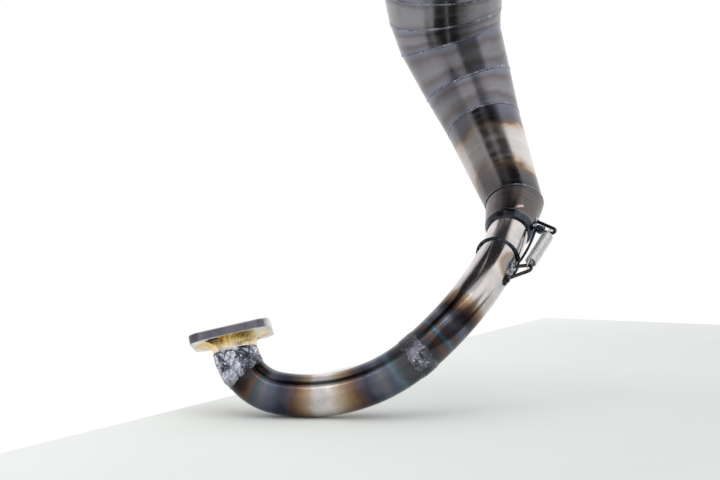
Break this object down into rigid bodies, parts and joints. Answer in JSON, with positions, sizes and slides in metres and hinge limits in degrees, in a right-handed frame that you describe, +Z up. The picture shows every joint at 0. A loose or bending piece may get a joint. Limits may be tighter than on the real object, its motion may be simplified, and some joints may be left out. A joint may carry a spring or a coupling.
{
  "type": "scooter expansion chamber",
  "caption": "Two-stroke expansion chamber: stud flange, heat-tinted header bend, spring-held slip joint and a chamber of mitred sheet cones with hanger tab and stinger.",
  "frame": {"origin": "middle of the exhaust flange's gasket face", "axes": "+X right, +Y away and +Z up as the picture shows it standing on its header bend"},
  "size_m": [0.2486, 0.246, 0.6247],
  "materials": {
    "flange_steel": "turned steel, straw tinted on the neck, dark at the edge",
    "header_steel": "polished steel tube with blue, brown and straw heat bands",
    "weld_metal": "rough weld bead, silver and blue-violet",
    "hook_wire": "burnt dark wire",
    "spring_steel": "bright close-wound spring wire",
    "keeper_steel": "dark blue-black wire",
    "bush_steel": "turned dark steel",
    "sheet_steel": "plain rolled sheet, brown heat tint near the joint",
    "bracket_steel": "plain cut plate",
    "stinger_steel": "plain drawn tube"
  },
  "bodies": {
    "chamber": {"inlet_bush": "bush_steel", "diffuser_cone_1": "sheet_steel", "diffuser_cone_2": "sheet_steel", "diffuser_cone_3": "sheet_steel", "diffuser_cone_4": "sheet_steel", "diffuser_cone_5": "sheet_steel", "diffuser_cone_6": "sheet_steel", "belly_shell": "sheet_steel", "hanger_bracket": "bracket_steel", "baffle_cone_1": "sheet_steel", "baffle_cone_2": "sheet_steel", "baffle_cone_3": "sheet_steel", "stinger_tube": "stinger_steel", "chamber_spring_hook": "hook_wire", "joint_spring": "spring_steel"},
    "header": {"exhaust_flange": "flange_steel", "flange_weld": "weld_metal", "header_bend_tube": "header_steel", "header_weld": "weld_metal", "header_upper_tube": "header_steel", "header_spring_hook": "hook_wire", "keeper_wire": "keeper_steel"}
  },
  "joints": [
    {"name": "slip_swivel", "type": "hinge", "parent": "chamber", "child": "header", "pos_m": [0.19071, 0.03789, 0.06742], "axis": [0.2974, 0.7311, 0.6141], "range_deg": [-10, 10], "deforming": ["joint_spring"]}
  ]
}
